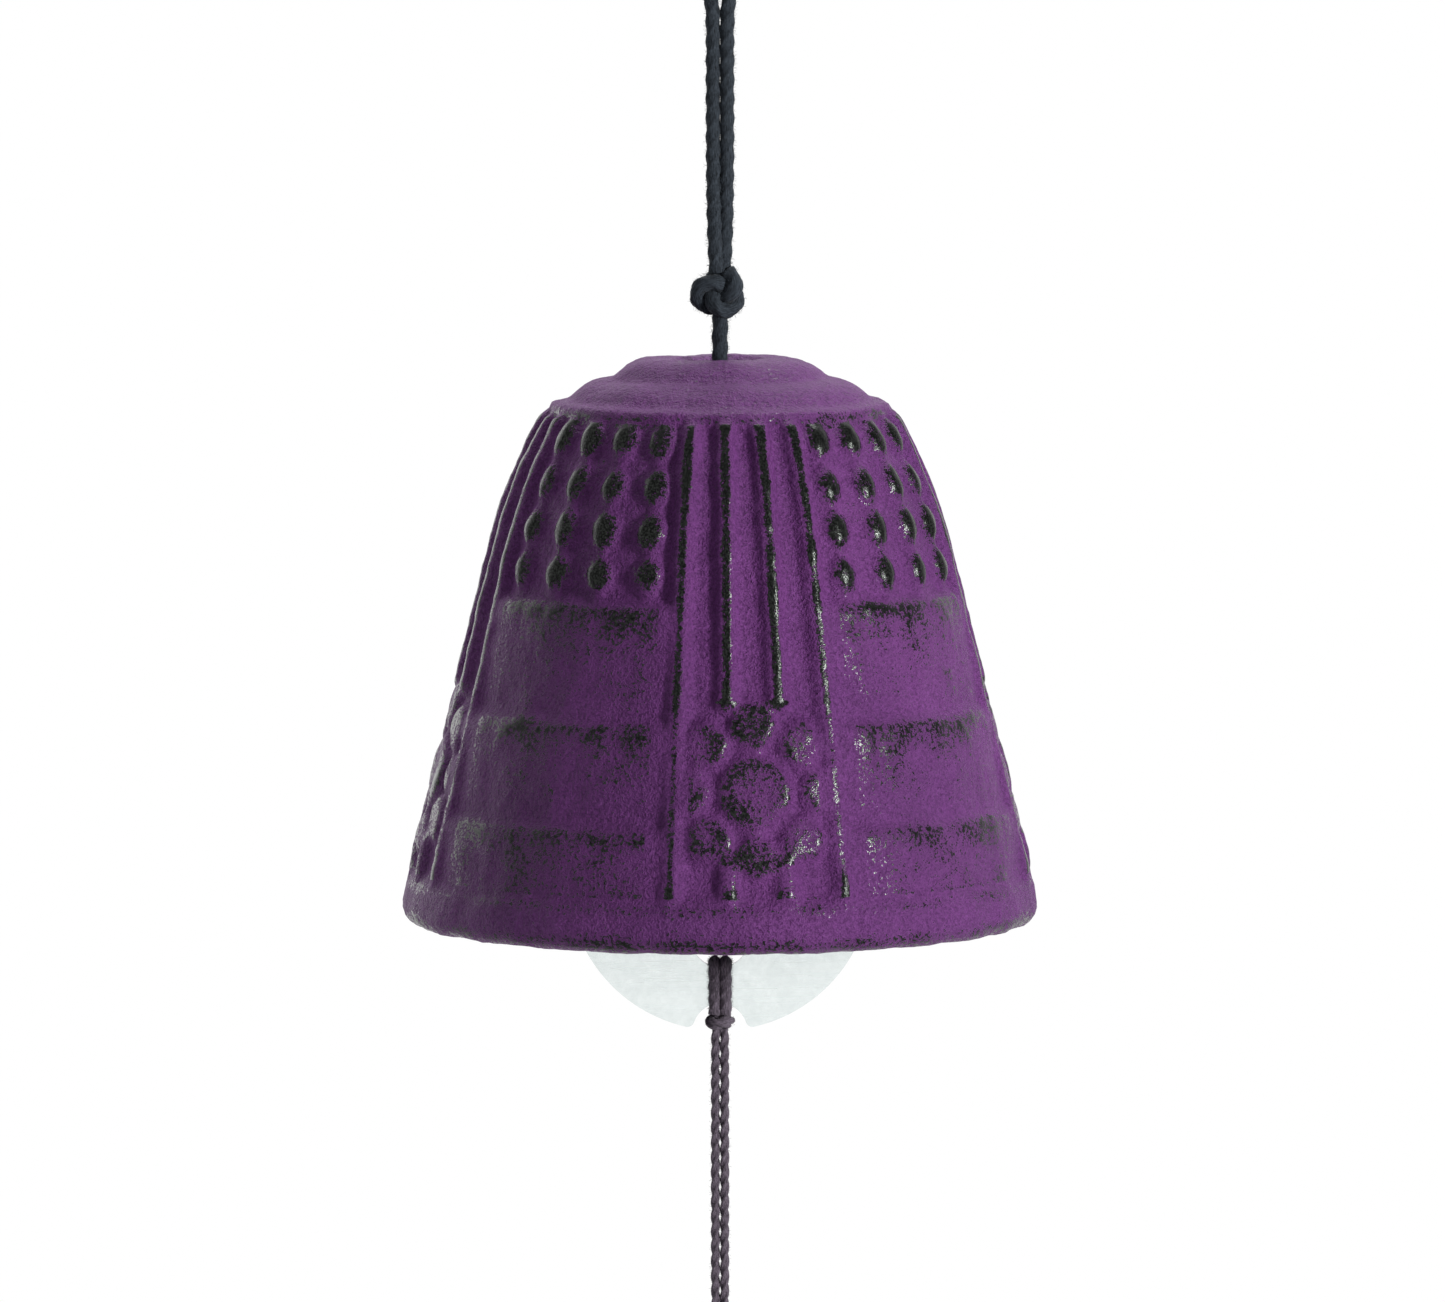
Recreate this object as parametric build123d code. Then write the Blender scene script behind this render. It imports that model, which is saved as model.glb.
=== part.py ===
from build123d import *
import os
from math import asin, atan2, cos, degrees, hypot, radians, sin, sqrt, tan

# Furin wind bell: a cast-iron temple bell on a knotted cord, with a sheet-metal
# clapper disc inside it and a paper wind strip below. Millimetres, +Z up. The
# origin is where the hanging loop rests on its hook. The front is -Y.

# Bell casting: heights of its zones, one above the other from the mouth up
RIM_BAND_HEIGHT = 5.2
LOWER_BAND_HEIGHT = 7.2
MIDDLE_BAND_HEIGHT = 11.2
UPPER_BAND_HEIGHT = 12.7
BOSS_FIELD_HEIGHT = 20.7
SHOULDER_TIER_HEIGHT = 3.1
CROWN_TIER_HEIGHT = 2.2

# Bell casting: outline
RIM_DIAMETER = 70.0
RIM_PROUD = 1.45
RIM_ROUND = 2.0
FLARE = 14.0
SHOULDER_BEND_HEIGHT = 16.0
SHOULDER_BEND_RADIUS = 60.0
SHOULDER_BEAD_PROUD = 0.65
SHOULDER_BEAD_HEIGHT = 1.3
SHOULDER_LEDGE = 1.9
CROWN_LEDGE = 5.0
CROWN_TOP_ROUND = 4.4
WALL = 3.0
CROWN_THICKNESS = 5.0
CROWN_INNER_ROUND = 4.0
DISH_DIAMETER = 9.7
DISH_DEPTH = 0.8
CROWN_HOLE_DIAMETER = 3.5

# Bell casting: relief, repeated in each quarter turn
QUARTERS = 4
QUARTER_TURN = 360.0 / QUARTERS
FRONT_BAND_AZIMUTH = 7.0
OUTER_RIB_ANGLE = 16.3
INNER_RIB_ANGLE = 5.5
RIB_HEIGHT = 0.9
RIB_FOOT_WIDTH = 2.2
RIB_CREST_WIDTH = 0.8
RIB_CREST_ROUND = 0.4
RELIEF_SINK = 0.6
STEP_PROUD = 0.85
STEP_FOOT = 0.25
STEP_SLOPE = 0.8
BOSS_ROWS = 4
BOSS_COLUMNS = 4
BOSS_WIDTH = 3.7
BOSS_LENGTH = 5.1
BOSS_PROUD = 0.85
BOSS_ROW_PITCH = 4.7
BOSS_COLUMN_ANGLE = 13.3
BOSS_TOP_MARGIN = 2.9
FLOWER_HEIGHT = 17.2
FLOWER_PETALS = 8
PETAL_DIAMETER = 4.0
PETAL_RING_DIAMETER = 14.5
FLOWER_BOSS_DIAMETER = 7.0
BUTTON_PROUD = 0.8
BUTTON_ROUND = 0.45

# Hanging cord, from the hook down to the clapper
CORD_DIAMETER = 1.6
HOOK_DIAMETER = 4.0
HANG_HEIGHT = 50.0
LOOP_NECK_DROP = 12.0
STRAND_GAP = 0.1
KNOT_DIAMETER = 6.2
KNOT_ABOVE_BELL = 7.2
STOPPER_DIAMETER = 6.2
CORD_CLEARANCE = 0.3

# Drawn-up knots: the cord runs twice round a ring and three times through it
KNOT_LOOSENESS = 1.06
KNOT_STEPS = 20
KNOT_END_ANGLE = 3.0
BEND_SHARE = 0.45
KNOT_CORDS_ACROSS = 1 + 3 * KNOT_LOOSENESS
KNOT_SADDLE_CORDS = 1 / 2 + KNOT_LOOSENESS

# Clapper disc, its centre measured up from the bell's mouth
DISC_DIAMETER = 33.6
DISC_THICKNESS = 1.0
DISC_HEIGHT = 4.8
DISC_HOLE_DIAMETER = 6.3
DISC_BRIDGE = 4.0
DISC_NOTCH_DIAMETER = 6.0
DISC_CORNER_ROUND = 0.8
TIE_KNOT_DIAMETER = 6.2
TIE_RISE = 2.0
WRAP_CLEARANCE = 0.15

# Strip cord and paper strip
STRIP_CORD_DIAMETER = 1.05
STRIP_CORD_LENGTH = 33.0
HITCH_SPREAD = 1.3
HITCH_LEG_DROP = 0.5
HITCH_BIGHT_DIAMETER = 3.2
HITCH_BIGHT_DROP = 2.0
HITCH_SWING_ROOM = 0.75
STRIP_KNOT_DIAMETER = 4.0
STRIP_WIDTH = 50.0
STRIP_LENGTH = 135.0
STRIP_THICKNESS = 0.4
STRIP_HOLE_DIAMETER = 4.0
STRIP_HOLE_MARGIN = 6.0
STRIP_TOP_GAP = 1.6

# Levels of the bell's zones above its mouth
LOWER_EDGE = RIM_BAND_HEIGHT + LOWER_BAND_HEIGHT
MIDDLE_EDGE = LOWER_EDGE + MIDDLE_BAND_HEIGHT
UPPER_EDGE = MIDDLE_EDGE + UPPER_BAND_HEIGHT
SHOULDER = UPPER_EDGE + BOSS_FIELD_HEIGHT
CROWN_STEP = SHOULDER + SHOULDER_TIER_HEIGHT
BELL_HEIGHT = CROWN_STEP + CROWN_TIER_HEIGHT
BEND_START = SHOULDER - SHOULDER_BEND_HEIGHT
CROWN_UNDERSIDE = BELL_HEIGHT - CROWN_THICKNESS

# Levels below the hook
BELL_TOP = -HANG_HEIGHT
MOUTH = BELL_TOP - BELL_HEIGHT
KNOT_LEVEL = BELL_TOP + KNOT_ABOVE_BELL
STOPPER_SADDLE = STOPPER_DIAMETER / KNOT_CORDS_ACROSS * KNOT_SADDLE_CORDS
STOPPER_LEVEL = MOUTH + CROWN_UNDERSIDE - CORD_CLEARANCE - STOPPER_SADDLE
DISC_LEVEL = MOUTH + DISC_HEIGHT
NOTCH_DEPTH = DISC_NOTCH_DIAMETER / 2
BRIDGE_OUTER = DISC_DIAMETER / 2 - NOTCH_DEPTH
BRIDGE_INNER = BRIDGE_OUTER - DISC_BRIDGE
TIE_LEVEL = DISC_LEVEL + DISC_DIAMETER / 2 + TIE_RISE
HITCH_LEVEL = DISC_LEVEL - BRIDGE_OUTER - HITCH_BIGHT_DROP
STRIP_CORD_TOP = HITCH_LEVEL - STRIP_CORD_DIAMETER / 2 - HITCH_SWING_ROOM
STRIP_CORD_BOTTOM = STRIP_CORD_TOP - STRIP_CORD_LENGTH
STRIP_KNOT_LEVEL = STRIP_CORD_BOTTOM - CORD_CLEARANCE - STRIP_KNOT_DIAMETER / 2
STRIP_TOP = STRIP_KNOT_LEVEL - STRIP_KNOT_DIAMETER / 2 - STRIP_TOP_GAP
STRIP_HANG_LEVEL = STRIP_TOP - STRIP_HOLE_MARGIN


def wall_bend_centre():
    """Centre of the arc that turns the straight flank in towards the shoulder."""
    radius = flank_radius(BEND_START)
    return (
        radius - SHOULDER_BEND_RADIUS * cos(radians(FLARE)),
        BEND_START - SHOULDER_BEND_RADIUS * sin(radians(FLARE)),
    )


def flank_radius(height):
    """Radius of the straight flank, between the ribs, at a height above the mouth."""
    foot = RIM_DIAMETER / 2 - RIM_PROUD
    return foot - (height - RIM_BAND_HEIGHT) * tan(radians(FLARE))


def wall_radius(height):
    """Radius of the bell's outside, between the ribs, at a height above the mouth."""
    if height <= BEND_START:
        return flank_radius(height)
    centre_radius, centre_height = wall_bend_centre()
    return centre_radius + sqrt(SHOULDER_BEND_RADIUS**2 - (height - centre_height) ** 2)


def wall_lean(height):
    """Angle by which the bell's outside leans in at a height above the mouth."""
    if height <= BEND_START:
        return FLARE
    return degrees(asin((height - wall_bend_centre()[1]) / SHOULDER_BEND_RADIUS))


def wall_plane(height, angle):
    """A plane on the bell's outside, its normal pointing out and its x level."""
    radius = wall_radius(height)
    turn = radians(angle)
    lean = radians(wall_lean(height))
    return Plane(
        origin=(radius * cos(turn), radius * sin(turn), height),
        x_dir=(-sin(turn), cos(turn), 0),
        z_dir=(cos(lean) * cos(turn), cos(lean) * sin(turn), sin(lean)),
    )


def band_angles():
    """Directions of the four rib bands, seen from above, from +X."""
    first = FRONT_BAND_AZIMUTH - 90
    return [first + QUARTER_TURN * quarter for quarter in range(QUARTERS)]


def bell_body():
    """The plain casting: crown tiers, wall and lip, turned about its axis."""
    hole = CROWN_HOLE_DIAMETER / 2
    dish = DISH_DIAMETER / 2
    dish_floor = BELL_HEIGHT - DISH_DEPTH
    bead_foot = SHOULDER - SHOULDER_BEAD_HEIGHT
    bead_radius = wall_radius(SHOULDER) + SHOULDER_BEAD_PROUD
    ledge_radius = bead_radius - SHOULDER_LEDGE
    crown_radius = ledge_radius - CROWN_LEDGE
    rim_radius = RIM_DIAMETER / 2
    foot = wall_radius(RIM_BAND_HEIGHT)
    wall_across = WALL / cos(radians(FLARE))
    bore = foot - wall_across
    centre_radius, centre_height = wall_bend_centre()
    inner_bend = SHOULDER_BEND_RADIUS - WALL
    inner_start = (
        wall_radius(BEND_START) - WALL * cos(radians(FLARE)),
        BEND_START - WALL * sin(radians(FLARE)),
    )
    inner_top = centre_radius + sqrt(inner_bend**2 - (CROWN_UNDERSIDE - centre_height) ** 2)

    outside = Polyline(
        (hole, CROWN_UNDERSIDE),
        (hole, dish_floor),
        (dish - DISH_DEPTH, dish_floor),
        (dish, BELL_HEIGHT),
        (crown_radius - CROWN_TOP_ROUND, BELL_HEIGHT),
    )
    outside += TangentArc(outside @ 1, (crown_radius, CROWN_STEP), tangent=(1, 0))
    outside += TangentArc(outside @ 1, (ledge_radius, SHOULDER + SHOULDER_BEAD_PROUD), tangent=(1, 0))
    outside += Line(outside @ 1, (bead_radius - SHOULDER_BEAD_PROUD, SHOULDER + SHOULDER_BEAD_PROUD))
    outside += TangentArc(outside @ 1, (bead_radius, SHOULDER), tangent=(1, 0))
    outside += Line(outside @ 1, (wall_radius(bead_foot), bead_foot))
    outside += RadiusArc(outside @ 1, (wall_radius(BEND_START), BEND_START), SHOULDER_BEND_RADIUS)
    outside += Line(outside @ 1, (wall_radius(RIM_BAND_HEIGHT + STEP_SLOPE), RIM_BAND_HEIGHT + STEP_SLOPE))
    outside += Line(outside @ 1, (foot + STEP_PROUD, RIM_BAND_HEIGHT))
    outside += Line(outside @ 1, (rim_radius, RIM_ROUND))
    outside += TangentArc(outside @ 1, (rim_radius - RIM_ROUND, 0), tangent=(0, -1))
    outside += Line(outside @ 1, (bore, 0))
    outside += Line(outside @ 1, (bore, RIM_BAND_HEIGHT))
    outside += Line(outside @ 1, inner_start)
    outside += RadiusArc(outside @ 1, (inner_top, CROWN_UNDERSIDE), -inner_bend)
    outside += Line(outside @ 1, (hole, CROWN_UNDERSIDE))
    body = revolve(Plane.XZ * make_face(outside), Axis.Z)
    circles = body.edges().filter_by(GeomType.CIRCLE)
    corner = circles.filter_by_position(Axis.Z, CROWN_UNDERSIDE, CROWN_UNDERSIDE)
    return fillet(corner.sort_by(SortBy.RADIUS)[-1], CROWN_INNER_ROUND)


def stepped_panel():
    """One panel between two rib bands: each zone's top edge stands proud of the one above."""
    edges = [UPPER_EDGE, MIDDLE_EDGE, LOWER_EDGE]
    outline = [(wall_radius(UPPER_EDGE + STEP_SLOPE), UPPER_EDGE + STEP_SLOPE)]
    for top, bottom in zip(edges, edges[1:] + [RIM_BAND_HEIGHT - STEP_SLOPE]):
        outline.append((wall_radius(top) + STEP_PROUD, top))
        outline.append((wall_radius(bottom + STEP_SLOPE) + STEP_FOOT, bottom + STEP_SLOPE))
    back_bottom = (outline[-1][0] - STEP_FOOT - RELIEF_SINK, outline[-1][1])
    back_top = (outline[0][0] - RELIEF_SINK, outline[0][1])
    face = make_face(Polyline(*outline, back_bottom, back_top, close=True))
    spread = QUARTER_TURN - 2 * OUTER_RIB_ANGLE
    return Rot(0, 0, -spread / 2) * revolve(Plane.XZ * face, Axis.Z, spread)


def rib(bottom, top):
    """A meridian rib on the +X side of the wall, between two heights above the mouth."""
    start = (wall_radius(bottom), bottom)
    end = (wall_radius(top), top)
    if top <= BEND_START:
        route = Line(start, end)
    elif bottom >= BEND_START:
        route = RadiusArc(start, end, -SHOULDER_BEND_RADIUS)
    else:
        route = Line(start, (wall_radius(BEND_START), BEND_START))
        route += RadiusArc(route @ 1, end, -SHOULDER_BEND_RADIUS)
    path = Plane.XZ * route
    foot = RIB_FOOT_WIDTH / 2
    crest = RIB_CREST_WIDTH / 2
    section = make_face(
        Polyline(
            (-RELIEF_SINK, -foot),
            (0, -foot),
            (RIB_HEIGHT, -crest),
            (RIB_HEIGHT, crest),
            (0, foot),
            (-RELIEF_SINK, foot),
            close=True,
        )
    )
    section = fillet(section.vertices().sort_by(Axis.X)[-2:], RIB_CREST_ROUND)
    lean = radians(wall_lean(bottom))
    across = Plane(
        origin=(start[0], 0, start[1]),
        x_dir=(cos(lean), 0, sin(lean)),
        z_dir=(-sin(lean), 0, cos(lean)),
    )
    return sweep(across * section, path)


def boss():
    """An oval boss, its long axis along y, sunk so far that it stands BOSS_PROUD."""
    half = Ellipse(BOSS_WIDTH / 2, BOSS_LENGTH / 2) & Rectangle(
        BOSS_WIDTH, BOSS_LENGTH, align=(Align.MIN, Align.CENTER)
    )
    return Pos(0, 0, BOSS_PROUD - BOSS_WIDTH / 2) * revolve(half, Axis.Y)


def button(diameter):
    """A round cast button with a soft edge, standing BUTTON_PROUD on its plane."""
    half = Pos(0, -RELIEF_SINK) * Rectangle(
        diameter / 2, RELIEF_SINK + BUTTON_PROUD, align=(Align.MIN, Align.MIN)
    )
    rounded = fillet(half.vertices().sort_by(Axis.X)[-2:].sort_by(Axis.Y)[-1], BUTTON_ROUND)
    return revolve(Plane.XZ * rounded, Axis.Z)


def flower(band):
    """The striking seat on one band: a centre boss with a ring of round petals."""
    parts = [wall_plane(FLOWER_HEIGHT, band) * button(FLOWER_BOSS_DIAMETER)]
    petal = button(PETAL_DIAMETER)
    lean = radians(wall_lean(FLOWER_HEIGHT))
    for number in range(FLOWER_PETALS):
        turn = 2 * radians(180) * number / FLOWER_PETALS
        height = FLOWER_HEIGHT + PETAL_RING_DIAMETER / 2 * cos(turn) * cos(lean)
        aside = PETAL_RING_DIAMETER / 2 * sin(turn)
        angle = band + degrees(asin(aside / wall_radius(height)))
        parts.append(wall_plane(height, angle) * petal)
    return parts


def band_ribs(band):
    """Two full ribs, and two inner ribs that stop for the flower."""
    rib_top = SHOULDER - SHOULDER_BEAD_HEIGHT / 2
    rib_bottom = RIM_BAND_HEIGHT
    reach = (PETAL_RING_DIAMETER + PETAL_DIAMETER) / 2
    full = rib(rib_bottom, rib_top)
    upper = rib(FLOWER_HEIGHT + reach, rib_top)
    lower = rib(rib_bottom, FLOWER_HEIGHT - PETAL_RING_DIAMETER / 2)
    parts = [Rot(0, 0, band + side * OUTER_RIB_ANGLE) * full for side in (-1, 1)]
    for side in (-1, 1):
        parts += [Rot(0, 0, band + side * INNER_RIB_ANGLE) * piece for piece in (upper, lower)]
    return parts


def panel_bosses(middle):
    """The boss field of one panel, in rows down and columns across."""
    parts = []
    oval = boss()
    for row in range(BOSS_ROWS):
        height = SHOULDER - BOSS_TOP_MARGIN - BOSS_ROW_PITCH * row
        for column in range(BOSS_COLUMNS):
            angle = middle + BOSS_COLUMN_ANGLE * (column - (BOSS_COLUMNS - 1) / 2)
            parts.append(wall_plane(height, angle) * oval)
    return parts


def make_bell():
    """The whole casting, hung at its level below the hook."""
    relief = []
    for band in band_angles():
        middle = band + QUARTER_TURN / 2
        relief.append(Rot(0, 0, middle) * stepped_panel())
        relief += band_ribs(band) + flower(band) + panel_bosses(middle)
    return Pos(0, 0, MOUTH) * (bell_body() + relief)


def tube(path, diameter):
    """A round cord along a path."""
    start = Plane(origin=path @ 0, z_dir=path % 0)
    return sweep(start * Circle(diameter / 2), path)


def upright(bottom, top, diameter, aside=0):
    """A straight hanging stretch of cord."""
    return Pos(aside, 0, bottom) * Cylinder(
        diameter / 2, top - bottom, align=(Align.CENTER, Align.CENTER, Align.MIN)
    )


def print_bends(piece, cord, radii):
    """Say how tightly a cord is bent."""
    print(f"{piece}: cord {cord:.2f} mm, bend radii {min(radii):.2f} to {max(radii):.2f} mm")


def knot(diameter):
    """A drawn-up overhand knot, one lobe on top, inside a ball of that diameter."""
    cord = diameter / KNOT_CORDS_ACROSS
    ring = cord * KNOT_LOOSENESS
    through = ring / 2
    first = radians(KNOT_END_ANGLE)
    step = (radians(360) - 2 * first) / KNOT_STEPS
    points = []
    for number in range(KNOT_STEPS + 1):
        turn = first + step * number
        out = ring + through * cos(3 * turn)
        points.append(Vector(-out * sin(2 * turn), through * sin(3 * turn), out * cos(2 * turn)))
    radii = [bend_radius(*corner) for corner in zip(points, points[1:], points[2:])]
    print_bends("knot", cord, radii)
    return tube(FilletPolyline(*points, radius=radii), cord)


def bend_radius(before, corner, after):
    """The largest arc that the shorter of two runs leaves room for."""
    run = min((corner - before).length, (after - corner).length)
    half_turn = radians((corner - before).get_angle(after - corner)) / 2
    return BEND_SHARE * run / tan(half_turn)


def make_hanging_loop():
    """Two strands side by side from the knot, opening round the hook and joined over it."""
    strand = (CORD_DIAMETER + STRAND_GAP) / 2
    bend = (HOOK_DIAMETER + CORD_DIAMETER) / 2
    centre = -HOOK_DIAMETER / 2
    neck = -LOOP_NECK_DROP
    reach = hypot(strand, centre - neck)
    opening = atan2(strand, centre - neck) - asin(bend / reach)
    touch = (bend * cos(opening), centre + bend * sin(opening))
    foot = KNOT_LEVEL + KNOT_DIAMETER / 2 + CORD_CLEARANCE
    corners = [Vector(strand, foot), Vector(strand, neck), Vector(*touch)]
    neck_bend = bend_radius(*corners)
    half = FilletPolyline(*corners, radius=neck_bend)
    over = ThreePointArc(touch, (0, centre + bend), (-touch[0], touch[1]))
    path = Plane.XZ * (half + over + mirror(half, Plane.YZ))
    print_bends("hanging loop", CORD_DIAMETER, [bend, neck_bend])
    return tube(path, CORD_DIAMETER)


def make_hanging_knot():
    """The knot above the bell, where the loop's two strands become one cord."""
    return Pos(0, 0, KNOT_LEVEL) * knot(KNOT_DIAMETER)


def make_crown_cord():
    """The single cord from the hanging knot through the crown hole to the stopper knot."""
    top = KNOT_LEVEL - KNOT_DIAMETER / 2 - CORD_CLEARANCE
    bottom = STOPPER_LEVEL + STOPPER_SADDLE + CORD_CLEARANCE
    return upright(bottom, top, CORD_DIAMETER)


def make_stopper_knot():
    """The knot that carries the bell: two lobes up, under the rim of the crown's hole."""
    return Pos(0, 0, STOPPER_LEVEL) * Rot(180, 0, 0) * knot(STOPPER_DIAMETER)


def make_clapper_cord():
    """The same cord inside the bell, from the stopper knot to the clapper's tie."""
    top = STOPPER_LEVEL - STOPPER_DIAMETER / 2 - CORD_CLEARANCE
    bottom = TIE_LEVEL + TIE_KNOT_DIAMETER / 2 + CORD_CLEARANCE
    return upright(bottom, top, CORD_DIAMETER)


def fold(sheet, cord, inner_level, end_level, aside=0):
    """A cord folded through a hole in a sheet at one level, along both faces to another."""
    stand_off = (sheet + cord) / 2 + WRAP_CLEARANCE
    print_bends("fold", cord, [stand_off])
    over = inner_level + (stand_off if inner_level > end_level else -stand_off)
    path = Plane.YZ * (
        Line((-stand_off, end_level), (-stand_off, inner_level))
        + ThreePointArc((-stand_off, inner_level), (0, over), (stand_off, inner_level))
        + Line((stand_off, inner_level), (stand_off, end_level))
    )
    return Pos(aside, 0, 0) * tube(path, cord)


def make_clapper_tie():
    """The cord's end: a fold through the disc's upper hole and the knot that closes it."""
    end = TIE_LEVEL - TIE_KNOT_DIAMETER / 2
    turn = fold(DISC_THICKNESS, CORD_DIAMETER, DISC_LEVEL + BRIDGE_INNER, end)
    return Compound(children=[turn, Pos(0, 0, TIE_LEVEL) * knot(TIE_KNOT_DIAMETER)])


def make_clapper_disc():
    """A round blank with a hole and an edge notch above and below, for the two cords."""
    edge = DISC_DIAMETER / 2
    hole = BRIDGE_INNER - DISC_HOLE_DIAMETER / 2
    blank = Circle(edge)
    for side in (-1, 1):
        blank -= Pos(0, side * hole) * Circle(DISC_HOLE_DIAMETER / 2)
        blank -= Pos(0, side * edge) * Circle(DISC_NOTCH_DIAMETER / 2)
    blank = fillet(blank.vertices().filter_by(lambda v: abs(v.Y) > BRIDGE_OUTER), DISC_CORNER_ROUND)
    sheet = extrude(Plane.XZ * blank, DISC_THICKNESS / 2, both=True)
    return Pos(0, 0, DISC_LEVEL) * sheet


def make_strip_hitch():
    """The folded strip cord's two legs, over the bridge through the disc's lower hole."""
    over = DISC_LEVEL - BRIDGE_INNER
    end = DISC_LEVEL - BRIDGE_OUTER - HITCH_LEG_DROP
    aside = HITCH_SPREAD / 2
    legs = [fold(DISC_THICKNESS, STRIP_CORD_DIAMETER, over, end, side * aside) for side in (-1, 1)]
    return Compound(children=legs)


def make_hitch_bight():
    """The fold's bight, drawn up round the two strands under the bridge."""
    ring = (HITCH_BIGHT_DIAMETER - STRIP_CORD_DIAMETER) / 2
    return Pos(0, 0, HITCH_LEVEL) * Torus(ring, STRIP_CORD_DIAMETER / 2)


def make_strip_cord():
    """Two strands side by side, from the hitch down to the strip's knot."""
    aside = (STRIP_CORD_DIAMETER + STRAND_GAP) / 2
    strands = [
        upright(STRIP_CORD_BOTTOM, STRIP_CORD_TOP, STRIP_CORD_DIAMETER, side * aside)
        for side in (-1, 1)
    ]
    return Compound(children=strands)


def make_strip_tie():
    """The knot above the strip, with the loop that goes through the strip's hole."""
    end = STRIP_KNOT_LEVEL - STRIP_KNOT_DIAMETER / 2
    loop = fold(STRIP_THICKNESS, STRIP_CORD_DIAMETER, STRIP_HANG_LEVEL, end)
    return Compound(children=[loop, Pos(0, 0, STRIP_KNOT_LEVEL) * knot(STRIP_KNOT_DIAMETER)])


def make_wind_strip():
    """The paper strip, hung by a punched hole near its top edge."""
    sheet = Pos(0, STRIP_TOP) * Rectangle(STRIP_WIDTH, STRIP_LENGTH, align=(Align.CENTER, Align.MAX))
    hole = STRIP_HANG_LEVEL - STRIP_HOLE_DIAMETER / 2
    sheet -= Pos(0, hole) * Circle(STRIP_HOLE_DIAMETER / 2)
    return extrude(Plane.XZ * sheet, STRIP_THICKNESS / 2, both=True)


NODES = {
    "hanging_loop": make_hanging_loop,
    "hanging_knot": make_hanging_knot,
    "crown_cord": make_crown_cord,
    "bell": make_bell,
    "stopper_knot": make_stopper_knot,
    "clapper_cord": make_clapper_cord,
    "clapper_tie": make_clapper_tie,
    "clapper_disc": make_clapper_disc,
    "strip_hitch": make_strip_hitch,
    "hitch_bight": make_hitch_bight,
    "strip_cord": make_strip_cord,
    "strip_tie": make_strip_tie,
    "wind_strip": make_wind_strip,
}

os.makedirs("parts", exist_ok=True)
for name, make in NODES.items():
    export_step(make(), f"parts/{name}.step")
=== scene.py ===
# %% [markdown]
# # A cast-iron wind bell
# The bell hangs from a knotted cord. Inside it a second length of the same cord carries a
# sheet-metal disc, the clapper, and from the disc a thin twine carries a paper strip that
# catches the wind. The measured parts come from the frame that is loaded first. Everything
# made here is placed on those parts, in metres, with the hook at the origin and -Y in front.

# %% Load the frame
import math

import bpy
import numpy as np
from mathutils import Matrix, Vector


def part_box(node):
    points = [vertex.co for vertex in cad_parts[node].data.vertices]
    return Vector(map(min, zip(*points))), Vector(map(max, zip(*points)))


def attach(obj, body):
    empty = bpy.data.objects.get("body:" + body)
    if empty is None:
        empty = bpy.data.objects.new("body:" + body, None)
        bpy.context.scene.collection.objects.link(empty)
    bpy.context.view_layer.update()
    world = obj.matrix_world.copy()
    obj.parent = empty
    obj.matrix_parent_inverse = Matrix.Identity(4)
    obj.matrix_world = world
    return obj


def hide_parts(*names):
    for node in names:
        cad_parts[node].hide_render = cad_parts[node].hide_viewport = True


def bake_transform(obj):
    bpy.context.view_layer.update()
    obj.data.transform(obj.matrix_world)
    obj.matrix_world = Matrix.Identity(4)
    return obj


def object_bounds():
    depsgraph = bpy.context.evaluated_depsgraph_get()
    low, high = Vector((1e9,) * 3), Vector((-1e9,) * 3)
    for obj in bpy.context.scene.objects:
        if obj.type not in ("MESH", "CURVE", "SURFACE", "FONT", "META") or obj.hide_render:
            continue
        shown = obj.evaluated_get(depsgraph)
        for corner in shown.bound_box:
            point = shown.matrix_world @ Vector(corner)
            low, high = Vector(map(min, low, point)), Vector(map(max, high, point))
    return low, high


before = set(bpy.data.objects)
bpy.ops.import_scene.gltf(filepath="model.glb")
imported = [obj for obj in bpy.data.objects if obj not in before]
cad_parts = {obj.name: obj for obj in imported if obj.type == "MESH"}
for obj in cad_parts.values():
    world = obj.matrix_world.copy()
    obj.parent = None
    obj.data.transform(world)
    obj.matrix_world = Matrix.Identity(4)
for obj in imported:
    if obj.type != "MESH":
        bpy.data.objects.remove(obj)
CAD_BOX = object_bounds()
MM = 0.001


def pick(*pieces):
    """Deselect everything, then select these pieces and make the first one active."""
    bpy.ops.object.select_all(action="DESELECT")
    for piece in pieces:
        piece.select_set(True)
    bpy.context.view_layer.objects.active = pieces[0]


def apply_modifiers(piece):
    """Apply a piece's modifiers from the first to the last."""
    pick(piece)
    for modifier in list(piece.modifiers):
        bpy.ops.object.modifier_apply(modifier=modifier.name)


# %% [markdown]
# ## Camera
# The picture looks a little down on the bell: the near rim bows below the far one by as much
# as a view from about five degrees up shows. The sides hardly converge, so the camera stands
# far off with a long lens. One millimetre at the bell's axis then covers about nine pixels.

# %% Camera
PHOTO_WIDTH = 1445
MM_PER_PIXEL = 0.11006
CAMERA_DISTANCE = 1.30
LOOK_DOWN = math.radians(5.0)
AIM = Vector((0.27, 0.0, -82.3)) * MM
SENSOR_MM = 36.0

view_width = PHOTO_WIDTH * MM_PER_PIXEL * MM
camera_place = AIM + CAMERA_DISTANCE * Vector((0, -math.cos(LOOK_DOWN), math.sin(LOOK_DOWN)))
bpy.ops.object.camera_add(location=camera_place, rotation=(math.pi / 2 - LOOK_DOWN, 0, 0))
camera = bpy.context.object
camera.data.sensor_fit = "HORIZONTAL"
camera.data.sensor_width = SENSOR_MM
camera.data.lens = SENSOR_MM * CAMERA_DISTANCE / view_width
bpy.context.scene.camera = camera
print(f"lens {camera.data.lens:.0f} mm, view {view_width / MM:.0f} mm wide")

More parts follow.
